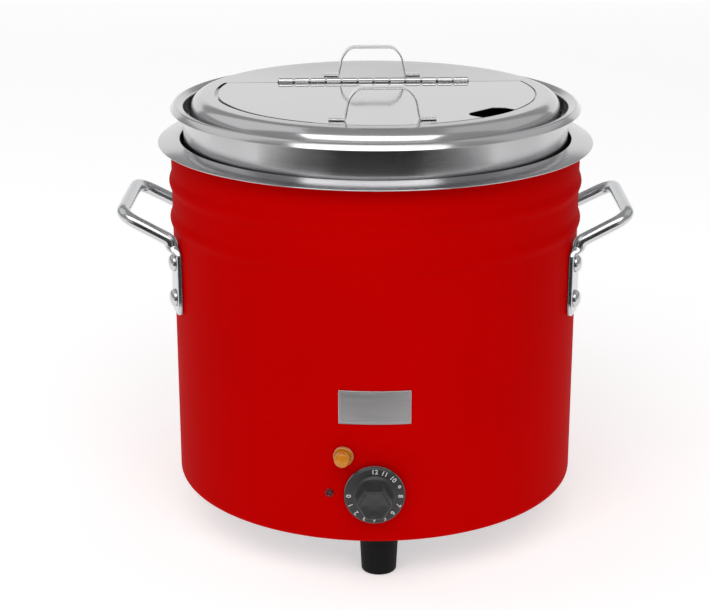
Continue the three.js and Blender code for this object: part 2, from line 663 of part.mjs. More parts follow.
// A bent flat strap standing on the lid, seen from the front and given its width along Y.
function strapHandle(name, y) {
  const foot = GAP + STRAP_THICK / 2;
  const top = STRAP_HEIGHT - STRAP_THICK / 2;
  const half = [
    [STRAP_HALF_LENGTH, foot], [28.4, foot], [27.1, foot + 0.7], [26.5, foot + 2.2], [24.8, 13],
    [22.8, 17.8], [19.6, 21.4], [15.4, top - 0.2], [11, top],
  ];
  const mirrored = half.map(([x, z]) => [-x, z]).reverse();
  const centre = [...half, ...mirrored].map(([x, z]) => new THREE.Vector2(x, z));
  const normal = centre.map((point, index) => {
    const before = centre[Math.max(index - 1, 0)];
    const after = centre[Math.min(index + 1, centre.length - 1)];
    const along = after.clone().sub(before).normalize();
    return new THREE.Vector2(-along.y, along.x);
  });
  const side = (offset) => centre.map((point, index) => point.clone().addScaledVector(normal[index], offset));
  const outline = new THREE.Shape([...side(-STRAP_THICK / 2), ...side(STRAP_THICK / 2).reverse()]);
  const options = { depth: STRAP_WIDTH, bevelEnabled: false };
  const strap = new THREE.ExtrudeGeometry(outline, options).rotateX(Math.PI / 2);
  strap.translate(0, y + STRAP_WIDTH / 2, LID_TOP_Z);
  return mesh(name, solid(strap), STEEL());
}

function lid() {
  const group = new THREE.Group();
  group.rotation.z = LID_TURN;
  group.add(lidRing(), hingeLeaf('hinge_leaf_lid', 1), hingePin(), strapHandle('rear_handle', REAR_HANDLE_Y));
  group.add(lidFlap(), hingeLeaf('hinge_leaf_flap', -1), strapHandle('flap_handle', FLAP_HANDLE_Y));
  return group;
}

// ---- assembly ----
const kettle = new THREE.Group();
kettle.add(outerShell(), basePlate(), ...feet(), ...baseScrews());
kettle.add(waterVessel(), ...heaterGroup(), cutOut());
kettle.add(...thermostat(), thermostatBulb(), spindle(), dialKnob());
kettle.add(...pilotLamp(), indexRivet(), nameBadge());
kettle.add(...inlet(), ...leads());
kettle.add(sideHandle('right_handle', 0), sideHandle('left_handle', 180), ...handleRivets());
kettle.add(insetPan());
kettle.add(lid());

export default kettle;
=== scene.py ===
"""Soup kettle: fine surfaces, materials, studio light and camera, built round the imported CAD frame."""

import json
import math

import bmesh
import bpy
from mathutils import Matrix, Vector


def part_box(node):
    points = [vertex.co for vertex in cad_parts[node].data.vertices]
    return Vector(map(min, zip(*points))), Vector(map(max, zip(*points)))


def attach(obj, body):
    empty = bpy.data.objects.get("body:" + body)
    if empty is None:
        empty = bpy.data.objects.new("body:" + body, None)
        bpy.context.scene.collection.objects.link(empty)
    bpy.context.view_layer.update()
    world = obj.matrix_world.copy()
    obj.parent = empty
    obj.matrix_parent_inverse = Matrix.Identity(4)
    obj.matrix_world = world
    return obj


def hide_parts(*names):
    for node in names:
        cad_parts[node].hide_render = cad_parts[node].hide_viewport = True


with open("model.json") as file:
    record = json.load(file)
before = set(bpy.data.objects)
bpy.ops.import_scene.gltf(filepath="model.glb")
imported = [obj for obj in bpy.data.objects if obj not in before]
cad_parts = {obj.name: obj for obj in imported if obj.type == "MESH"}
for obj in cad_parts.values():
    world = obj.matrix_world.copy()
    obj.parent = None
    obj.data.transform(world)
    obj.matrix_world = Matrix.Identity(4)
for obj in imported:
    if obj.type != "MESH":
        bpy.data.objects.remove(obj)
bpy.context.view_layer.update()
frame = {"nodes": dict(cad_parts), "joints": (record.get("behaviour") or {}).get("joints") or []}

MM = 0.001
FRONT = -math.pi / 2          # azimuth of the front, measured from +X
FINE = 192                    # segments round the big turned pieces
SHEET = 0.8 * MM

# ---- places read from the frame ----
shell_low, shell_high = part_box("outer_shell")
BEAD_OUT = 2 * MM
BODY_R = shell_high.x - BEAD_OUT
BODY_BASE, BODY_TOP = shell_low.z, shell_high.z
vessel_low, vessel_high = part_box("water_vessel")
BRIM_R = vessel_high.x
pan_low, pan_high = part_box("inset_pan")
RIM_R = pan_high.x
lid_low, lid_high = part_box("lid_ring")
LID_TOP = lid_high.z
JOINTS = {joint["name"]: joint for joint in frame["joints"]}
hinge_axis = Vector(JOINTS["flap_hinge"]["axis"])
hinge_centre = Vector(JOINTS["flap_hinge"]["pos_m"])
LID_TURN = math.atan2(-hinge_axis.y, -hinge_axis.x)
HINGE_Y = hinge_centre.xy.length
HINGE_Z = hinge_centre.z
LID_FRAME = Matrix.Rotation(LID_TURN, 4, "Z")
DIAL_Z = JOINTS["dial_turn"]["pos_m"][2]


# ---- camera ----
CAMERA_ROLL = 0.14            # degrees, turned about the view axis
CAMERA_DOWN = 18.14           # degrees below the horizon
CAMERA_DISTANCE = 8.4347      # in front of the axis, in shell radii
CAMERA_RISE = 1.8942          # above the shell's top edge, in shell radii


def make_camera():
    """A long lens in front of the kettle, looking down on it a little."""
    data = bpy.data.cameras.new("camera")
    data.lens = 88.95
    data.sensor_width = 36
    data.shift_x = -0.0283
    data.clip_end = 50
    camera = bpy.data.objects.new("camera", data)
    bpy.context.scene.collection.objects.link(camera)
    camera.location = (0, -CAMERA_DISTANCE * BODY_R, BODY_TOP - 0.2 * MM + CAMERA_RISE * BODY_R)
    pitch = math.radians(90 - CAMERA_DOWN)
    roll = math.radians(CAMERA_ROLL)
    camera.rotation_euler = (Matrix.Rotation(pitch, 4, "X") @ Matrix.Rotation(roll, 4, "Z")).to_euler()
    bpy.context.scene.camera = camera


make_camera()


# ---- material helpers ----
def new_material(name):
    material = bpy.data.materials.new(name)
    material.use_nodes = True
    tree = material.node_tree
    return material, tree, tree.nodes["Principled BSDF"]


def node(tree, kind, **values):
    """A shader node; values set its inputs by name, or its properties where there is no such input."""
    made = tree.nodes.new(kind)
    for key, value in values.items():
        label = key.replace("_", " ").title()
        if label in made.inputs:
            made.inputs[label].default_value = value
        else:
            setattr(made, key, value)
    return made


def noise(tree, vector, scale, detail=3.0, roughness=0.5):
    made = node(tree, "ShaderNodeTexNoise", scale=scale, detail=detail, roughness=roughness)
    tree.links.new(vector, made.inputs["Vector"])
    return made.outputs["Fac"]


def ramp(tree, fac, stops):
    made = tree.nodes.new("ShaderNodeValToRGB")
    elements = made.color_ramp.elements
    while len(elements) < len(stops):
        elements.new(0.5)
    for element, (place, colour) in zip(elements, stops):
        element.position = place
        element.color = (*colour, 1) if isinstance(colour, tuple) else (colour, colour, colour, 1)
    tree.links.new(fac, made.inputs["Fac"])
    return made.outputs["Color"]


def bump(tree, shader, height, strength, distance):
    made = node(tree, "ShaderNodeBump", strength=strength, distance=distance)
    tree.links.new(height, made.inputs["Height"])
    tree.links.new(made.outputs["Normal"], shader.inputs["Normal"])


def object_coordinates(tree):
    return tree.nodes.new("ShaderNodeTexCoord").outputs["Object"]


def stretched(tree, vector, scale):
    made = tree.nodes.new("ShaderNodeMapping")
    made.inputs["Scale"].default_value = scale
    tree.links.new(vector, made.inputs["Vector"])
    return made.outputs["Vector"]


def round_coordinates(tree):
    """(angle, radius, height) about the kettle's axis, so that grain can run round it."""
    split = tree.nodes.new("ShaderNodeSeparateXYZ")
    tree.links.new(object_coordinates(tree), split.inputs["Vector"])
    angle = node(tree, "ShaderNodeMath", operation="ARCTAN2")
    tree.links.new(split.outputs["Y"], angle.inputs[0])
    tree.links.new(split.outputs["X"], angle.inputs[1])
    flat = tree.nodes.new("ShaderNodeCombineXYZ")
    tree.links.new(split.outputs["X"], flat.inputs["X"])
    tree.links.new(split.outputs["Y"], flat.inputs["Y"])
    length = node(tree, "ShaderNodeVectorMath", operation="LENGTH")
    tree.links.new(flat.outputs["Vector"], length.inputs[0])
    joined = tree.nodes.new("ShaderNodeCombineXYZ")
    tree.links.new(angle.outputs[0], joined.inputs["X"])
    tree.links.new(length.outputs["Value"], joined.inputs["Y"])
    tree.links.new(split.outputs["Z"], joined.inputs["Z"])
    return joined.outputs["Vector"]


def metal(name, colour, roughness, grain, grain_scale, spread=0.06, strength=0.08, turned=False):
    """Metal whose grain is noise stretched along the brushing; grain is the scale along each axis."""
    material, tree, shader = new_material(name)
    shader.inputs["Metallic"].default_value = 1
    coordinates = round_coordinates(tree) if turned else object_coordinates(tree)
    lines = noise(tree, stretched(tree, coordinates, grain), grain_scale, detail=4)
    blotch = noise(tree, object_coordinates(tree), 14, detail=2)
    low, high = [tuple(channel * share for channel in colour) for share in (0.94, 1.0)]
    tree.links.new(ramp(tree, lines, [(0.3, low), (0.7, high)]), shader.inputs["Base Color"])
    mixed = node(tree, "ShaderNodeMath", operation="ADD")
    tree.links.new(lines, mixed.inputs[0])
    tree.links.new(blotch, mixed.inputs[1])
    half = node(tree, "ShaderNodeMath", operation="MULTIPLY")
    tree.links.new(mixed.outputs[0], half.inputs[0])
    half.inputs[1].default_value = 0.5
    wear = ramp(tree, half.outputs[0], [(0.35, roughness - spread), (0.65, roughness + spread)])
    tree.links.new(wear, shader.inputs["Roughness"])
    bump(tree, shader, lines, strength, 0.02 * MM)
    if turned:
        round_grain(tree, shader)
    return material


def round_grain(tree, shader):
    """Stretches highlights across brushing that runs round the kettle's axis."""
    shader.inputs["Anisotropic"].default_value = 0.6
    shader.inputs["Anisotropic Rotation"].default_value = 0.25
    tangent = node(tree, "ShaderNodeTangent", direction_type="RADIAL", axis="Z")
    tree.links.new(tangent.outputs["Tangent"], shader.inputs["Tangent"])


def red_coating():
    """Semi-gloss powder coat: fine orange peel and a hardly visible change of tone."""
    material, tree, shader = new_material("red_powder_coat")
    place = object_coordinates(tree)
    tone = ramp(tree, noise(tree, place, 6, detail=2), [(0.3, (0.465, 0.0, 0.0)), (0.7, (0.505, 0.0, 0.0))])
    tree.links.new(tone, shader.inputs["Base Color"])
    peel = noise(tree, place, 900, detail=2)
    tree.links.new(ramp(tree, peel, [(0.3, 0.5), (0.7, 0.58)]), shader.inputs["Roughness"])
    shader.inputs["Specular IOR Level"].default_value = 0.006
    bump(tree, shader, peel, 0.12, 0.05 * MM)
    return material


def moulded(name, colour, roughness, grain=1400, strength=0.25, specular=0.5):
    """Moulded plastic or rubber with a fine spark-eroded grain."""
    material, tree, shader = new_material(name)
    place = object_coordinates(tree)
    grains = noise(tree, place, grain, detail=2)
    low = tuple(channel * 0.8 for channel in colour)
    shader.inputs["Specular IOR Level"].default_value = specular
    tree.links.new(ramp(tree, grains, [(0.3, low), (0.7, colour)]), shader.inputs["Base Color"])
    tone = noise(tree, place, 30, detail=2)
    wear = ramp(tree, tone, [(0.3, roughness - 0.05), (0.7, roughness + 0.05)])
    tree.links.new(wear, shader.inputs["Roughness"])
    bump(tree, shader, grains, strength, 0.04 * MM)
    return material


def amber(name, colour, transmission):
    """Translucent lamp plastic, a little cloudy inside."""
    material, tree, shader = new_material(name)
    cloud = noise(tree, object_coordinates(tree), 260, detail=3)
    low = tuple(channel * 0.78 for channel in colour)
    tree.links.new(ramp(tree, cloud, [(0.3, low), (0.7, colour)]), shader.inputs["Base Color"])
    tree.links.new(ramp(tree, cloud, [(0.3, 0.16), (0.7, 0.3)]), shader.inputs["Roughness"])
    shader.inputs["Transmission Weight"].default_value = transmission
    shader.inputs["IOR"].default_value = 1.49
    shader.inputs["Coat Weight"].default_value = 0.1
    return material


FLOOR_GLOW = 0.34            # the floor is lit from below a little, like a light table


def floor_material():
    material, tree, shader = new_material("pale_floor")
    tone = ramp(tree, noise(tree, object_coordinates(tree), 1.5, detail=2), [(0.2, 0.93), (0.8, 0.95)])
    tree.links.new(tone, shader.inputs["Base Color"])
    shader.inputs["Roughness"].default_value = 0.9
    shader.inputs["Specular IOR Level"].default_value = 0.1
    shader.inputs["Emission Color"].default_value = (1, 1, 1, 1)
    shader.inputs["Emission Strength"].default_value = FLOOR_GLOW
    return material


STEEL_TONE = (0.60, 0.60, 0.61)
GRAIN_ROUND = (0.8, 2200, 2200)    # long lines round the axis, fine across it
STEEL_ROUND = metal(
    "steel_brushed_round", STEEL_TONE, 0.2, GRAIN_ROUND, 1.0, spread=0.03, strength=0.012, turned=True)
STEEL_BRIM = metal(
    "steel_brushed_brim", STEEL_TONE, 0.19, GRAIN_ROUND, 1.0, spread=0.03, strength=0.012, turned=True)
STEEL_SPUN = metal(
    "steel_spun_lid", STEEL_TONE, 0.19, GRAIN_ROUND, 1.0, spread=0.03, strength=0.01, turned=True)
STEEL_SHEET = metal(
    "steel_satin_sheet", STEEL_TONE, 0.075, (5, 1400, 1400), 1.0, spread=0.015, strength=0.006)
STEEL_SMALL = metal("steel_small_parts", (0.72, 0.72, 0.72), 0.24, (300, 300, 300), 2.0)
ALUMINIUM = metal(
    "aluminium_polished", (0.62, 0.63, 0.64), 0.17, (60, 60, 400), 1.0, spread=0.03, strength=0.03)
BADGE = metal("badge_silver", (0.66, 0.66, 0.67), 0.42, (40, 40, 1500), 1.0, strength=0.03)
BRASS = metal("brass", (0.72, 0.5, 0.22), 0.3, (200, 200, 200), 2.0)
RED = red_coating()
# This black is real moulded plastic on the dial, gland and leads, and painted shade as the plug inside the
# index eyelet.
BLACK_PLASTIC_AND_SHADE = moulded("black_plastic", (0.029, 0.03, 0.031), 0.42)
RUBBER = moulded("black_rubber", (0.004, 0.004, 0.004), 0.62, grain=700, specular=0.15)
DARK_STEEL = metal("steel_dark_eyelet", (0.16, 0.03, 0.035), 0.35, (300, 300, 300), 2.0)
CREAM = moulded("cream_ceramic", (0.68, 0.62, 0.48), 0.6, grain=400)
PRINT = moulded("white_print", (0.75, 0.75, 0.74), 0.55, grain=2000, strength=0.1)
AMBER_LENS = amber("amber_lens", (0.7, 0.24, 0.002), 0.1)
AMBER_RING = amber("amber_ring", (0.6, 0.2, 0.004), 0.1)


# ---- mesh helpers ----
def piece(name, bm, material, body, nodes=(), sharp=32, matrix=None):
    """The mesh as an object: smooth, with sharp edges kept, riding on a body and standing for CAD nodes."""
    if matrix is not None:
        bm.transform(matrix)
    bmesh.ops.recalc_face_normals(bm, faces=bm.faces)
    limit = math.radians(sharp)
    for face in bm.faces:
        face.smooth = True
    for edge in bm.edges:
        edge.smooth = len(edge.link_faces) == 2 and edge.calc_face_angle(0) < limit
    mesh = bpy.data.meshes.new(name)
    bm.to_mesh(mesh)
    bm.free()
    mesh.materials.append(material)
    made = bpy.data.objects.new(name, mesh)
    bpy.context.scene.collection.objects.link(made)
    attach(made, body)
    if nodes:
        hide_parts(*nodes)
    return made


def rounded(points, step=12):
    """A polyline whose corners are arcs. Each point is (x, y) or (x, y, corner radius)."""
    result = []
    for index, point in enumerate(points):
        here = Vector(point[:2])
        radius = point[2] if len(point) > 2 else 0
        if radius == 0 or index in (0, len(points) - 1):
            result.append(here)
            continue
        to_last = (Vector(points[index - 1][:2]) - here).normalized()
        to_next = (Vector(points[index + 1][:2]) - here).normalized()
        turn = math.pi - to_last.angle(to_next)
        cut = radius * math.tan(turn / 2)
        centre = here + (to_last + to_next).normalized() * (radius / math.cos(turn / 2))
        start = here + to_last * cut - centre
        count = max(2, math.ceil(math.degrees(turn) / step))
        side = 1 if start.cross(here + to_next * cut - centre) > 0 else -1
        for k in range(count + 1):
            result.append(centre + Matrix.Rotation(side * turn * k / count, 2) @ start)
    return result


def sheet_outline(path, thickness, ends=4):
    """The closed outline of a thin sheet that follows path on its left side, with rounded edges."""
    tangents = []
    for index in range(len(path)):
        before = path[max(index - 1, 0)]
        after = path[min(index + 1, len(path) - 1)]
        tangents.append((after - before).normalized())
    half = thickness / 2
    normals = [Vector((-t.y, t.x)) for t in tangents]
    middle = [p + n * half for p, n in zip(path, normals)]
    right = [m - n * half for m, n in zip(middle, normals)]
    left = [m + n * half for m, n in zip(middle, normals)]
    def cap(centre, start, sweep):
        return [centre + Matrix.Rotation(sweep * k / (ends + 1), 2) @ start for k in range(1, ends + 1)]
    end = cap(middle[-1], -normals[-1] * half, math.pi)
    start = cap(middle[0], normals[0] * half, math.pi)
    return right + end + left[::-1] + start


def turned(outline, segments=FINE, closed=True):
    """Revolves (radius, height) points about Z."""
    bm = bmesh.new()
    points = [Vector(p) for p in outline]
    rings = []
    for p in points:
        if p.x < 1e-7:
            rings.append([bm.verts.new((0, 0, p.y))])
            continue
        angles = [2 * math.pi * k / segments for k in range(segments)]
        rings.append([bm.verts.new((p.x * math.cos(a), p.x * math.sin(a), p.y)) for a in angles])
    pairs = list(zip(rings, rings[1:]))
    if closed:
        pairs.append((rings[-1], rings[0]))
    for low, high in pairs:
        if len(low) == 1 and len(high) == 1:
            continue
        for k in range(segments):
            n = (k + 1) % segments
            corners = [low[k % len(low)], low[n % len(low)], high[n % len(high)], high[k % len(high)]]
            unique = list(dict.fromkeys(corners))
            bm.faces.new(unique)
    return bm


def radial(azimuth, z):
    """Takes local +Z to the horizontal direction at an azimuth from the front, through the kettle's axis."""
    turn = Matrix.Rotation(azimuth, 4, "Z") @ Matrix.Rotation(math.pi / 2, 4, "X")
    return Matrix.Translation((0, 0, z)) @ turn


def azimuth_of(node_name):
    """Azimuth from the front, and height, of a node's middle."""
    low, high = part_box(node_name)
    middle = (low + high) / 2
    return math.atan2(middle.x, -middle.y), middle.z


def add_box(bm, low, high):
    size = Vector(high) - Vector(low)
    middle = (Vector(high) + Vector(low)) / 2
    matrix = Matrix.Translation(middle) @ Matrix.Diagonal((*size, 1))
    bmesh.ops.create_cube(bm, size=1, matrix=matrix)


def bevelled(bm, width, segments=2, angle=40):
    limit = math.radians(angle)
    edges = [e for e in bm.edges if len(e.link_faces) == 2 and e.calc_face_angle(0) > limit]
    bmesh.ops.bevel(bm, geom=edges, offset=width, segments=segments, profile=0.5, affect="EDGES")
    return bm


def joined(parts):
    """One mesh out of several; each part is (mesh, matrix)."""
    bm = bmesh.new()
    for part, matrix in parts:
        part.transform(matrix)
        mesh = bpy.data.meshes.new("part")
        part.to_mesh(mesh)
        part.free()
        bm.from_mesh(mesh)
        bpy.data.meshes.remove(mesh)
    return bm


def loft(sections, caps=True):
    """Skins a list of rings of points, all with the same count."""
    bm = bmesh.new()
    rings = [[bm.verts.new(point) for point in ring] for ring in sections]
    count = len(rings[0])
    for low, high in zip(rings, rings[1:]):
        for k in range(count):
            n = (k + 1) % count
            bm.faces.new((low[k], low[n], high[n], high[k]))
    if caps:
        bm.faces.new(rings[0][::-1])
        bm.faces.new(rings[-1])
    return bm


# ---- red shell ----
BEAD_HALF = 8 * MM
BEAD_HEIGHTS = [250 * MM, 279.5 * MM]


def bead_path(z):
    """A rolled bead: a raised cosine that swells out of the wall."""
    steps = 16
    points = []
    for k in range(steps + 1):
        share = 2 * k / steps - 1
        points.append((BODY_R + BEAD_OUT * (1 + math.cos(math.pi * share)) / 2, z + BEAD_HALF * share))
    return points


def outer_shell():
    path = [(145 * MM, BODY_BASE), (BODY_R, BODY_BASE, 5 * MM)]
    for z in BEAD_HEIGHTS:
        path += bead_path(z)
    path.append((BODY_R, BODY_TOP))
    outline = sheet_outline(rounded(path), SHEET)
    skin = piece("outer_shell_skin", turned(outline), RED, "kettle_base", ["outer_shell"])
    skin.visible_glossy = False       # the handles show no red mirror image of the shell


def seam_line():
    """The welded seam up the back of the shell, dressed flush."""
    bm = bmesh.new()
    add_box(bm, (-0.9 * MM, BODY_R - 0.2 * MM, BODY_BASE + 6 * MM), (0.9 * MM, BODY_R + 0.12 * MM, 241 * MM))
    piece("shell_seam", bevelled(bm, 0.1 * MM), RED, "kettle_base")


# ---- vessel, pan ----
def water_vessel():
    wall = 153.3 * MM
    floor = vessel_low.z + 24 * MM
    top = vessel_high.z
    slope = (top - 310 * MM) / (BRIM_R - 153 * MM)
    path = [
        (0, floor), (wall, floor, 7 * MM), (wall, top - 0.9 * MM, 0.9 * MM),
        (BRIM_R, top - 0.9 * MM - slope * (BRIM_R - wall)),
    ]
    bm = turned(sheet_outline(rounded(path), SHEET), closed=True)
    piece("water_vessel_skin", bm, STEEL_BRIM, "kettle_base", ["water_vessel"])


LID_REST_Z = 319.2 * MM       # the bead inside the pan that the lid's skirt stands on


def inset_pan():
    wall = 149.8 * MM
    floor = pan_low.z
    top = pan_high.z
    path = [
        (0, floor), (wall, floor, 7 * MM), (wall, top - 3 * MM, 2 * MM),
        (RIM_R - 3.9 * MM, top - 0.8 * MM, 1.8 * MM), (RIM_R - 0.7 * MM, top - 5.1 * MM),
    ]
    sheet = turned(sheet_outline(rounded(path, 8), SHEET))
    inside = wall - SHEET
    rest = rounded([
        (inside + 0.3 * MM, LID_REST_Z - 2.2 * MM), (inside - 1.7 * MM, LID_REST_Z, 1.2 * MM),
        (inside + 0.3 * MM, LID_REST_Z + 2.2 * MM),
    ], 15)
    bm = joined([(sheet, Matrix.Identity(4)), (turned(rest), Matrix.Identity(4))])
    piece("inset_pan_skin", bm, STEEL_ROUND, "inset", ["inset_pan"])


# ---- lid ----
LEDGE_DROP = 2.6 * MM          # depth of the recess that the flap lies in
STEP_R = 124.9 * MM
OPENING_R = 119.8 * MM
FLAP_R = 123.1 * MM
HINGE_GAP = 0.35 * MM
KNUCKLE_R = 2.2 * MM
HINGE_HALF = 76.2 * MM
FLAP_SHEET = 1.2 * MM
FLAP_SHIFT = Vector((0.8, 0.3)) * MM     # the flap lies a little off centre in its recess


def solidified(made, thickness, offset):
    modifier = made.modifiers.new("thickness", "SOLIDIFY")
    modifier.thickness = thickness
    modifier.offset = offset
    modifier.use_even_offset = True
    return made


def lid_ring():
    """The shoulder and skirt all round, the ledge under the flap in front, and the fixed panel behind."""
    top = LID_TOP
    shoulder = rounded([
        (STEP_R, top), (141.8 * MM, top, 10.6 * MM), (146.3 * MM, lid_low.z + 1.1 * MM, 1.2 * MM),
        (148 * MM, lid_low.z + 0.9 * MM),
    ], 6)
    ledge = [Vector((OPENING_R, top - LEDGE_DROP)), Vector((STEP_R, top - LEDGE_DROP)), Vector((STEP_R, top))]
    edge_y = HINGE_Y + HINGE_GAP
    ledge_start = math.asin(edge_y / STEP_R)
    angles = [ledge_start + (math.pi - 2 * ledge_start) * k / 72 for k in range(72)]
    front_sweep = math.pi + 2 * ledge_start
    angles += [math.pi - ledge_start + front_sweep * k / 140 for k in range(140)]
    bm = bmesh.new()
    def ring_at(r, z, chosen):
        return [bm.verts.new((r * math.cos(a), r * math.sin(a), z)) for a in chosen]
    rings = [ring_at(p.x, p.y, angles) for p in shoulder]
    for low, high in zip(rings, rings[1:]):
        for k in range(len(angles)):
            n = (k + 1) % len(angles)
            bm.faces.new((low[k], high[k], high[n], low[n]))
    front = list(range(72, 212)) + [0]
    rows = [[bm.verts.new((p.x * math.cos(angles[k]), p.x * math.sin(angles[k]), p.y)) for k in front]
            for p in ledge[:2]]
    rows.append([rings[0][k] for k in front])
    for low, high in zip(rows, rows[1:]):
        for k in range(len(front) - 1):
            bm.faces.new((low[k], high[k], high[k + 1], low[k + 1]))
    knuckle_y = HINGE_Y + KNUCKLE_R + HINGE_GAP
    cut = HINGE_HALF + HINGE_GAP
    chord = [(-cut, edge_y), (-cut, knuckle_y), (cut, knuckle_y), (cut, edge_y)]
    bm.faces.new([rings[0][k] for k in range(73)] + [bm.verts.new((x, y, top)) for x, y in chord])
    made = piece("lid_ring_skin", bm, STEEL_SPUN, "lid", ["lid_ring"], matrix=LID_FRAME)
    solidified(made, 0.9 * MM, -1)


def flap_outline():
    """Outline of the flap: round in front with the ladle notch, straight along the hinge."""
    edge = HINGE_Y - HINGE_GAP
    back = HINGE_Y - KNUCKLE_R - HINGE_GAP
    cut = HINGE_HALF + HINGE_GAP
    end = math.asin(edge / FLAP_R)
    notch = math.radians(-45)
    half, inner = 19.5 * MM, 105 * MM
    half_angle = math.asin(half / FLAP_R)
    out = Vector((math.cos(notch), math.sin(notch)))
    across = Vector((-out.y, out.x))
    def arc(start, stop, count):
        turns = [start + (stop - start) * k / count for k in range(count + 1)]
        return [FLAP_SHIFT + FLAP_R * Vector((math.cos(a), math.sin(a))) for a in turns]
    rim_left = arc(-math.pi - end, notch - half_angle, 150)
    rim_right = arc(notch + half_angle, end, 60)
    corners = [
        (*rim_left[-1],), (*(out * inner - across * half), 9 * MM), (*(out * inner + across * half), 9 * MM),
        (*rim_right[0],),
    ]
    notch_path = rounded(corners, 8)[1:-1]
    straight = [Vector(p) for p in ((cut, edge), (cut, back), (-cut, back), (-cut, edge))]
    return rim_left + notch_path + rim_right + straight


def lid_flap():
    low, high = LID_TOP - FLAP_SHEET, LID_TOP
    outline = flap_outline()
    bm = bmesh.new()
    bottom = [bm.verts.new((p.x, p.y, low)) for p in outline]
    top = [bm.verts.new((p.x, p.y, high)) for p in outline]
    bm.faces.new(bottom[::-1])
    bm.faces.new(top)
    for k in range(len(outline)):
        n = (k + 1) % len(outline)
        bm.faces.new((bottom[k], bottom[n], top[n], top[k]))
    made = piece("lid_flap_skin", bm, STEEL_SHEET, "flap", ["lid_flap"], matrix=LID_FRAME)
    edge = made.modifiers.new("edge", "BEVEL")
    edge.width = 0.35 * MM
    edge.segments = 3
    edge.limit_method = "ANGLE"
    edge.angle_limit = math.radians(50)
    edge.harden_normals = True


def rounded_rectangle(half_x, half_y, power, count=24):
    """A superellipse section: power 2 is an ellipse, and 6 nearly a rectangle."""
    points = []
    for k in range(count):
        angle = 2 * math.pi * k / count
        c, s = math.cos(angle), math.sin(angle)
        points.append((half_x * math.copysign(abs(c) ** (2 / power), c),
                       half_y * math.copysign(abs(s) ** (2 / power), s)))
    return points


def strap_handle(name, node_name, body):
    """A bent flat bar with rolled edges, its feet spot-welded to the sheet."""
    low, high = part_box(node_name)
    middle = LID_FRAME.inverted() @ ((low + high) / 2)
    thick = 1.4 * MM
    base = low.z + thick / 2
    top = high.z - thick / 2
    half = [(39 * MM, base), (26.9 * MM, base, 2.2 * MM), (24.2 * MM, top - 8 * MM, 14 * MM),
            (18 * MM, top, 9.5 * MM), (0, top)]
    right = rounded(half, 6)
    path = right + [Vector((-p.x, p.y)) for p in right[-2::-1]]
    sections = []
    for index, p in enumerate(path):
        before, after = path[max(index - 1, 0)], path[min(index + 1, len(path) - 1)]
        along = (after - before).normalized()
        up = Vector((-along.y, along.x))
        ends = min(index, len(path) - 1 - index)
        width = 6 * MM * (0.82 if ends == 0 else 1)
        section = rounded_rectangle(width, thick / 2, 4)
        sections.append([(p.x + up.x * v, middle.y + u, p.y + up.y * v) for u, v in section])
    bm = loft(sections)
    piece(name, bm, STEEL_SMALL, body, [node_name], sharp=50, matrix=LID_FRAME)


def hinge():
    """The piano hinge: two leaves under the sheets and their rolled knuckles by turns along the pin."""
    pitch = 2 * HINGE_HALF / 12
    along_x = Matrix.Rotation(math.pi / 2, 4, "Y")
    under = LID_TOP - FLAP_SHEET - 0.3 * MM
    for side, node_name, body in ((1, "hinge_leaf_lid", "lid"), (-1, "hinge_leaf_flap", "flap")):
        parts = []
        leaf = bmesh.new()
        near, far = HINGE_Y + side * 2.1 * MM, HINGE_Y + side * 14.5 * MM
        add_box(leaf, (-HINGE_HALF, min(near, far), under - 1 * MM), (HINGE_HALF, max(near, far), under))
        parts.append((leaf, Matrix.Identity(4)))
        for index in range(0 if side > 0 else 1, 12, 2):
            x = -HINGE_HALF + index * pitch + 0.45 * MM
            length = pitch - 0.9 * MM
            bevel = 0.4 * MM
            outline = [
                (1.15 * MM, 0), (KNUCKLE_R - bevel, 0), (KNUCKLE_R, bevel),
                (KNUCKLE_R, length - bevel), (KNUCKLE_R - bevel, length), (1.15 * MM, length),
            ]
            parts.append((turned(outline, 32), Matrix.Translation((x, HINGE_Y, HINGE_Z)) @ along_x))
            web = bmesh.new()
            web_y = sorted((HINGE_Y + side * 0.5 * MM, near + side * 0.5 * MM))
            web_top = HINGE_Z - KNUCKLE_R + 0.5 * MM
            add_box(web, (x, web_y[0], under - 1 * MM), (x + length, web_y[1], web_top))
            parts.append((web, Matrix.Identity(4)))
        piece(node_name + "_skin", joined(parts), STEEL_SMALL, body, [node_name],
              matrix=LID_FRAME)
    length = 2 * HINGE_HALF
    outline = [
        (0, 0), (0.8 * MM, 0), (1.1 * MM, 0.3 * MM),
        (1.1 * MM, length - 0.3 * MM), (0.8 * MM, length), (0, length),
    ]
    pin = turned(outline, 24, closed=False)
    pin.transform(Matrix.Translation((-HINGE_HALF, HINGE_Y, HINGE_Z)) @ along_x)
    piece("hinge_pin_skin", pin, STEEL_SMALL, "lid", ["hinge_pin"], matrix=LID_FRAME)


# ---- side handles and rivets ----
ROD_R = 5 * MM
TAB_ANGLE = math.radians(18.6)


def smooth(share):
    share = min(max(share, 0), 1)
    return share * share * (3 - 2 * share)


def bezier_corner(before, corner, after, size, count):
    start = corner + (before - corner).normalized() * size
    stop = corner + (after - corner).normalized() * size
    points = []
    for k in range(count + 1):
        t = k / count
        points.append(start * (1 - t) ** 2 + corner * (2 * t * (1 - t)) + stop * t ** 2)
    return points


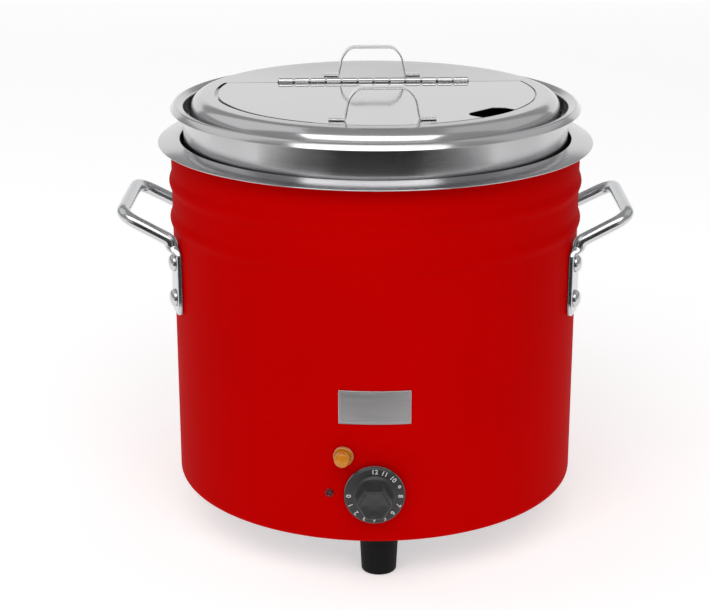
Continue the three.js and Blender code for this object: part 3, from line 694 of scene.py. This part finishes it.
def handle_half_path(high):
    """From the flattened end's foot up the shell, out along the leg and round to the middle of the grip."""
    grip_x, grip_z = high.x - ROD_R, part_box("right_handle")[1].z - ROD_R
    tab_low, tab_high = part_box("right_handle")[0].z, 236 * MM
    bent_z = 229.5 * MM
    across = Vector((math.cos(TAB_ANGLE), -math.sin(TAB_ANGLE), 0))
    face = BODY_R + 0.3 * MM
    tab = face + 1.8 * MM
    neck = face + ROD_R + 0.4 * MM
    corner = Vector((grip_x, -50.5 * MM, grip_z))
    points = [across * tab + Vector((0, 0, tab_low + (bent_z - tab_low) * k / 8)) for k in range(9)]
    rise = 12
    for k in range(1, rise + 1):
        share = k / rise
        rho = tab + (neck - tab) * smooth(share)
        points.append(across * rho + Vector((0, 0, bent_z + (tab_high - bent_z) * share)))
    bend = across * neck + Vector((0, 0, 240 * MM))
    points += bezier_corner(points[-1], bend, corner, 4 * MM, 8)[1:]
    leg_end = bezier_corner(bend, corner, Vector((grip_x, 0, grip_z)), 15 * MM, 12)
    start = points[-1].copy()
    points += [start.lerp(leg_end[0], k / 6) for k in range(1, 6)]
    points += leg_end
    start = points[-1].copy()
    points += [start.lerp(Vector((grip_x, 0, grip_z)), k / 6) for k in range(1, 7)]
    return points


def side_handle(node_name, turn):
    """A bent bar, round along the grip and hammered flat at both ends."""
    low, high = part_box("right_handle")
    path = handle_half_path(high)
    normal = Vector((math.cos(TAB_ANGLE), -math.sin(TAB_ANGLE), 0))
    sections = []
    for index, p in enumerate(path):
        before, after = path[max(index - 1, 0)], path[min(index + 1, len(path) - 1)]
        along = (after - before).normalized()
        normal = (normal - along * normal.dot(along)).normalized()
        side = along.cross(normal)
        flat = 1 - smooth((p.z - 229.5 * MM) / (7.5 * MM))
        half_width = ROD_R + (11 * MM - ROD_R) * flat
        half_thick = ROD_R + (1.8 * MM - ROD_R) * flat
        power = 2 + 4 * flat
        foot = (p.z - low.z) / (4 * MM)
        if index < 9 and foot < 1:
            half_width *= 0.86 + 0.14 * math.sqrt(max(0, 1 - (1 - foot) ** 2))
        section = rounded_rectangle(half_width, half_thick, power, 32)
        sections.append([p + side * u + normal * v for u, v in section])
    mirrored = [[Vector((v.x, -v.y, v.z)) for v in ring] for ring in sections[-2::-1]]
    bm = loft(sections + mirrored)
    matrix = Matrix.Rotation(turn, 4, "Z")
    piece(node_name + "_skin", bm, ALUMINIUM, "kettle_base", [node_name],
          sharp=55, matrix=matrix)


def domed(radius, height, seat, steps=10):
    """Half outline of a shallow dome with a soft edge, sitting at seat."""
    points = [(radius - 0.25 * MM, seat), (radius, seat + 0.35 * MM)]
    for k in range(1, steps + 1):
        angle = math.pi / 2 * k / steps
        points.append((radius * math.cos(angle), seat + 0.35 * MM + (height - 0.35 * MM) * math.sin(angle)))
    return points


def handle_rivets():
    seat = BODY_R + 0.3 * MM + 3.6 * MM
    for side in ("right", "left"):
        for index in range(1, 5):
            node_name = f"{side}_handle_rivet_{index}"
            azimuth, z = azimuth_of(node_name)
            shank = [(0, seat - 3 * MM), (2.4 * MM, seat - 3 * MM), (2.4 * MM, seat)]
            bm = turned(shank + domed(7 * MM, 4.4 * MM, seat), 48, False)
            piece(node_name + "_skin", bm, ALUMINIUM, "kettle_base", [node_name],
                  matrix=radial(azimuth, z))


# ---- dial, lamp, badge ----
def dial():
    low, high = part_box("dial_knob")
    back, front = -high.y, -low.y
    radius = high.x
    skirt = back + 3.8 * MM
    skirt_outline = rounded([
        (0, back), (radius - 0.3 * MM, back), (radius, back + 0.4 * MM), (radius, skirt - 0.9 * MM, 0.4 * MM),
        (radius - 1.3 * MM, skirt, 0.8 * MM), (15.8 * MM, skirt - 0.1 * MM, 0.8 * MM),
        (14 * MM, skirt + 1.6 * MM), (0, skirt + 1.6 * MM),
    ], 15)
    parts = [(turned(skirt_outline, 96, False), Matrix.Identity(4))]
    parts.append((dial_hub(skirt, front), Matrix.Identity(4)))
    piece("dial_skin", joined(parts), BLACK_PLASTIC_AND_SHADE, "dial", ["dial_knob"],
          sharp=38, matrix=radial(0, DIAL_Z))


def dial_hub(skirt, front):
    """A six-sided grip with soft corners, round at its foot and dished in front."""
    rings = []
    levels = [
        (skirt + 0.6 * MM, 14.6, 0.0), (skirt + 3.2 * MM, 13.6, 0.55), (skirt + 6 * MM, 13.1, 0.85),
        (front - 2.2 * MM, 12.5, 1.0), (front - 0.7 * MM, 12.2, 1.0), (front - 0.15 * MM, 11.7, 1.0),
        (front, 11.1, 1.0), (front - 0.1 * MM, 10.2, 1.0), (front - 1.1 * MM, 8.5, 0.8),
        (front - 1.3 * MM, 2.0, 0.0),
    ]
    count = 96
    for height, radius, hexagon in levels:
        ring = []
        for k in range(count):
            angle = 2 * math.pi * k / count
            inside = (angle % (math.pi / 3)) - math.pi / 6
            flat = math.cos(math.pi / 6) / math.cos(inside)
            corner = min(flat, 0.965)
            reach = radius * MM * (1 + hexagon * (corner - 1)) * (1 + 0.035 * hexagon)
            ring.append((reach * math.cos(angle), reach * math.sin(angle), height))
        rings.append(ring)
    return loft(rings)


def dial_numbers():
    """Plain numbers 0 to 12 round the skirt, a little proud of it like thick print."""
    face = -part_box("dial_knob")[1].y + 3.8 * MM
    step = math.radians(22.5)
    parts = []
    for number in range(13):
        angle = math.pi + number * step
        curve = bpy.data.curves.new("digits", "FONT")
        curve.body = str(number)
        curve.size = 5.1 * MM
        curve.extrude = 0.06 * MM
        curve.offset = 0.05 * MM
        curve.align_x = "CENTER"
        curve.align_y = "CENTER"
        text = bpy.data.objects.new("digits", curve)
        bpy.context.scene.collection.objects.link(text)
        bpy.context.view_layer.update()
        mesh = bpy.data.meshes.new_from_object(text.evaluated_get(bpy.context.evaluated_depsgraph_get()))
        bm = bmesh.new()
        bm.from_mesh(mesh)
        bpy.data.objects.remove(text)
        place = Matrix.Translation((19 * MM * math.cos(angle), 19 * MM * math.sin(angle), face + 0.08 * MM))
        parts.append((bm, place @ Matrix.Rotation(angle - math.pi / 2, 4, "Z")))
    piece("dial_numbers", joined(parts), PRINT, "dial", matrix=radial(0, DIAL_Z))


def pilot_lamp():
    azimuth, z = azimuth_of("pilot_lamp_bezel")
    face = BODY_R + 0.3 * MM
    ring = rounded([
        (4.9 * MM, face - 4 * MM), (4.9 * MM, face), (7.5 * MM, face, 0.2 * MM),
        (7.5 * MM, face + 1.9 * MM, 0.7 * MM), (6.6 * MM, face + 2.6 * MM, 0.4 * MM),
        (5 * MM, face + 2.6 * MM, 0.3 * MM), (4.6 * MM, face + 1.2 * MM),
    ], 15)
    piece("pilot_lamp_ring", turned(ring, 64), AMBER_RING, "kettle_base", ["pilot_lamp_bezel"],
          matrix=radial(azimuth, z))
    seat = face + 2.9 * MM
    lens = rounded([
        (0, seat - 8 * MM), (2.6 * MM, seat - 8 * MM), (2.6 * MM, seat), (5.75 * MM, seat, 0.3 * MM),
        (5.6 * MM, seat + 6.6 * MM, 1.4 * MM), (2.5 * MM, seat + 7.9 * MM, 6 * MM), (0, seat + 8.1 * MM),
    ], 10)
    piece("pilot_lamp_cap", turned(lens, 64, False), AMBER_LENS, "kettle_base", ["pilot_lamp_lens"],
          matrix=radial(azimuth, z))


def index_rivet():
    """The dial's index mark: a dark eyelet, its hollow middle filled just under the lip by a black plug that
    is painted shade for the dark inside of the hole.
    """
    azimuth, z = azimuth_of("index_rivet")
    seat = BODY_R + 0.1 * MM
    eyelet = turned(rounded([
        (1.5 * MM, seat - 1 * MM), (3.2 * MM, seat - 1 * MM), (3.2 * MM, seat + 0.9 * MM, 0.5 * MM),
        (2.2 * MM, seat + 1.2 * MM, 0.6 * MM), (1.5 * MM, seat + 0.6 * MM, 0.3 * MM),
    ], 15), 48)
    # Black plug in the eyelet's hollow, 0.5 mm under its lip: painted shade standing for the dark inside of
    # the hole.
    shade_plug_r, shade_plug_low, shade_plug_high = 1.45 * MM, seat - 1 * MM, seat + 0.1 * MM
    shade_plug = turned([(0, shade_plug_low), (shade_plug_r, shade_plug_low), (shade_plug_r, shade_plug_high), (0, shade_plug_high)], 24, False)
    place = radial(azimuth, z)
    piece("index_eyelet", eyelet, DARK_STEEL, "kettle_base", ["index_rivet"], matrix=place)
    piece("index_eyelet_painted_shade_plug", shade_plug, BLACK_PLASTIC_AND_SHADE, "kettle_base", matrix=place)


def name_badge():
    """A thin plate bent round the shell, blank inside a raised border."""
    low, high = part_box("name_badge")
    half_w, half_h = BODY_R * math.asin(high.x / BODY_R), (high.z - low.z) / 2
    middle_z = (low.z + high.z) / 2
    inner, outer = BODY_R + 0.15 * MM, BODY_R + 1.1 * MM
    border, dip, edge = 1.5 * MM, 0.3 * MM, 0.2 * MM
    sections = []
    columns = [-half_w, -half_w + edge, -half_w + border, -half_w + border + edge]
    spread = half_w - border - edge
    columns += [spread * (2 * k / 20 - 1) for k in range(1, 20)]
    columns += [-x for x in columns[3::-1]]
    for index, x in enumerate(columns):
        end = min(index, len(columns) - 1 - index)
        face = outer - (edge if end == 0 else 0)
        floor_r = face - (dip if end > 2 else 0)
        h = half_h
        outline = [
            (inner, -h), (face - edge, -h), (face, -h + edge), (face, -h + border),
            (floor_r, -h + border + edge), (floor_r, h - border - edge),
            (face, h - border), (face, h - edge), (face - edge, h), (inner, h),
        ]
        angle = FRONT + x / BODY_R
        sections.append([(rho * math.cos(angle), rho * math.sin(angle), middle_z + z) for rho, z in outline])
    piece("name_badge_skin", loft(sections), BADGE, "kettle_base", ["name_badge"], sharp=20)


# ---- feet, screws, gland ----
def feet():
    for index in range(1, 4):
        node_name = f"foot_{index}"
        low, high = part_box(node_name)
        middle = (low + high) / 2
        place = Matrix.Translation((middle.x, middle.y, 0))
        top = high.z
        radius = (high.x - low.x) / 2
        outline = rounded([
            (6.5 * MM, 0.6 * MM, 0.3 * MM), (7.2 * MM, 0), (13.3 * MM, 0, 1.8 * MM),
            (radius, top, 0.8 * MM), (2.9 * MM, top),
            (2.9 * MM, 12 * MM), (6.5 * MM, 12 * MM, 0.4 * MM),
        ], 15)
        piece(node_name + "_skin", turned(outline, 64), RUBBER, "kettle_base", [node_name],
              matrix=place)


def pan_head_screws():
    """Pan-head screws under the base, each with a shallow round recess in its head."""
    names = [f"foot_screw_{i}" for i in (1, 2, 3)] + [f"base_screw_{i}" for i in (1, 2, 3)]
    for node_name in names:
        low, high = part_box(node_name)
        middle = (low + high) / 2
        radius = (high.x - low.x) / 2 * 0.99
        head = 3.0 * MM if "foot" in node_name else 2.1 * MM
        outline = rounded([
            (0, low.z + 0.5 * MM), (radius * 0.35, low.z + 0.5 * MM), (radius * 0.4, low.z),
            (radius * 0.75, low.z + 0.1 * MM, 2 * MM),
            (radius, low.z + head * 0.7, 0.8 * MM), (radius, low.z + head), (radius * 0.45, low.z + head),
            (radius * 0.45, high.z), (0, high.z),
        ], 12)
        place = Matrix.Translation((middle.x, middle.y, 0))
        piece(node_name + "_skin", turned(outline, 32, False), STEEL_SMALL, "kettle_base", [node_name],
              matrix=place)


def cable_gland():
    """Hexagon body and ribbed cap nut of the mains inlet; the cord isn't part of the kettle."""
    azimuth, z = math.pi, (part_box("cable_gland")[0].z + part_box("cable_gland")[1].z) / 2
    face = BODY_R + 0.3 * MM
    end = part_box("cable_gland")[1].y
    body = turned(rounded([
        (8 * MM, face - 10 * MM), (8 * MM, face), (12 * MM, face, 0.5 * MM),
        (12 * MM, face + 4.8 * MM, 0.8 * MM),
        (3.8 * MM, face + 5 * MM), (3.8 * MM, face - 10 * MM),
    ], 30), 6)
    cap_low = face + 5.2 * MM
    rings = []
    levels = [
        (cap_low, 3.8, 0), (cap_low, 10.2, 1), (cap_low + 0.4 * MM, 10.5, 1), (end - 6.5 * MM, 10.5, 1),
        (end - 5 * MM, 9.9, 0.4), (end - 1.2 * MM, 7.6, 0), (end, 6.6, 0), (end, 4.2, 0),
        (end - 0.5 * MM, 3.8, 0),
    ]
    count = 96
    for height, radius, ribs in levels:
        ring = []
        for k in range(count):
            angle = 2 * math.pi * k / count
            reach = radius * MM - ribs * 0.45 * MM * max(0, math.cos(angle * 16)) ** 2
            ring.append((reach * math.cos(angle), reach * math.sin(angle), height))
        rings.append(ring)
    cap = loft(rings + [rings[0]], caps=False)
    bmesh.ops.remove_doubles(cap, verts=cap.verts, dist=1e-6)
    bm = joined([(body, Matrix.Identity(4)), (cap, Matrix.Identity(4))])
    piece("cable_gland_skin", bm, BLACK_PLASTIC_AND_SHADE, "kettle_base", ["cable_gland"],
          matrix=radial(azimuth, z))


# ---- carried-over CAD nodes ----
def finish_cad_nodes():
    looks = {
        "base_plate": STEEL_SHEET, "heating_element": CREAM, "element_clamp_plate": STEEL_SHEET,
        "element_clamp_nut": BRASS, "high_limit_cutout": BLACK_PLASTIC_AND_SHADE, "thermostat_body": CREAM,
        "thermostat_screw_1": STEEL_SMALL, "thermostat_screw_2": STEEL_SMALL, "thermostat_bulb": BRASS,
        "thermostat_spindle": STEEL_SMALL, "pilot_lamp_clip": STEEL_SMALL, "gland_nut": BLACK_PLASTIC_AND_SHADE,
        "terminal_block": CREAM, "earth_stud": BRASS, "lead_supply_to_thermostat": BLACK_PLASTIC_AND_SHADE,
        "lead_thermostat_to_element": BLACK_PLASTIC_AND_SHADE, "lead_supply_to_cutout": BLACK_PLASTIC_AND_SHADE,
    }
    for name, material in looks.items():
        for place in frame["nodes"][name].material_slots:
            place.material = material


# ---- stage ----
def floor():
    bm = bmesh.new()
    bmesh.ops.create_grid(bm, x_segments=2, y_segments=2, size=12)
    mesh = bpy.data.meshes.new("floor")
    bm.to_mesh(mesh)
    bm.free()
    mesh.materials.append(floor_material())
    made = bpy.data.objects.new("floor", mesh)
    bpy.context.scene.collection.objects.link(made)


def card(name, location, size, shade, flat=False):
    """A large matt card beside the set, which only reflections see."""
    bm = bmesh.new()
    bmesh.ops.create_grid(bm, x_segments=1, y_segments=1, size=0.5)
    bm.transform(Matrix.Diagonal((size[0], size[1], 1, 1)))
    mesh = bpy.data.meshes.new(name)
    bm.to_mesh(mesh)
    bm.free()
    material, _, shader = new_material(name)
    shader.inputs["Base Color"].default_value = (shade, shade, shade, 1)
    shader.inputs["Roughness"].default_value = 1
    mesh.materials.append(material)
    made = bpy.data.objects.new(name, mesh)
    bpy.context.scene.collection.objects.link(made)
    made.location = location
    if not flat:
        made.rotation_euler = (Vector((0, 0, 0.25)) - Vector(location)).to_track_quat("Z", "Y").to_euler()
    made.visible_camera = False
    made.visible_diffuse = False
    made.visible_shadow = False


def area_light(name, location, size, radiance, aim=(0, 0, 0.2)):
    data = bpy.data.lights.new(name, "AREA")
    data.shape = "RECTANGLE"
    data.size, data.size_y = size
    data.energy = radiance * math.pi * size[0] * size[1]
    made = bpy.data.objects.new(name, data)
    bpy.context.scene.collection.objects.link(made)
    made.location = location
    made.rotation_euler = (Vector(aim) - Vector(location)).to_track_quat("-Z", "Y").to_euler()


def backdrop():
    """A pale wall far away all round, seen by the camera and by nothing else."""
    bm = turned([(7, -0.01), (7, 9), (6.9, 9), (6.9, -0.01)], 64)
    mesh = bpy.data.meshes.new("backdrop")
    bm.to_mesh(mesh)
    bm.free()
    material, _, shader = new_material("pale_backdrop")
    shader.inputs["Base Color"].default_value = (0, 0, 0, 1)
    shader.inputs["Emission Color"].default_value = (1, 1, 1, 1)
    shader.inputs["Emission Strength"].default_value = 1
    mesh.materials.append(material)
    made = bpy.data.objects.new("backdrop", mesh)
    bpy.context.scene.collection.objects.link(made)
    for ray in ("diffuse", "glossy", "transmission", "shadow"):
        setattr(made, "visible_" + ray, False)


def light_the_set():
    world = bpy.data.worlds.new("soft_grey")
    world.use_nodes = True
    back = world.node_tree.nodes["Background"]
    back.inputs["Color"].default_value = (1, 1, 1, 1)
    back.inputs["Strength"].default_value = 0.37
    bpy.context.scene.world = world
    area_light("panel_back", (0, 3.4, 0.85), (6.0, 1.5), 0.54, aim=(0, 0, 0.85))
    area_light("panel_front", (-0.15, -2.35, 2.6), (4.6, 2.0), 2.3, aim=(0, 0, 0.34))
    area_light("panel_left", (-2.3, 0.8, 2.5), (3.0, 3.0), 0.45)
    area_light("panel_right", (2.3, 0.8, 2.5), (3.0, 3.0), 0.25)
    card("card_low", (0, -1.7, 0.003), (2.1, 2.6), 0.015, flat=True)
    card("card_front", (0, -3.2, 0.5), (3.4, 1.0), 0.015)
    card("card_left", (-2.35, -1.1, 0.002), (1.7, 3.4), 0.4, flat=True)
    card("card_right", (2.35, -1.1, 0.002), (1.7, 3.4), 0.4, flat=True)
    bpy.context.scene.view_settings.view_transform = "Standard"


# ---- everything ----
outer_shell()
seam_line()
water_vessel()
inset_pan()
lid_ring()
lid_flap()
strap_handle("flap_handle_skin", "flap_handle", "flap")
strap_handle("rear_handle_skin", "rear_handle", "lid")
hinge()
side_handle("right_handle", 0)
side_handle("left_handle", math.pi)
handle_rivets()
dial()
dial_numbers()
pilot_lamp()
index_rivet()
name_badge()
feet()
pan_head_screws()
cable_gland()
finish_cad_nodes()
floor()
backdrop()
light_the_set()
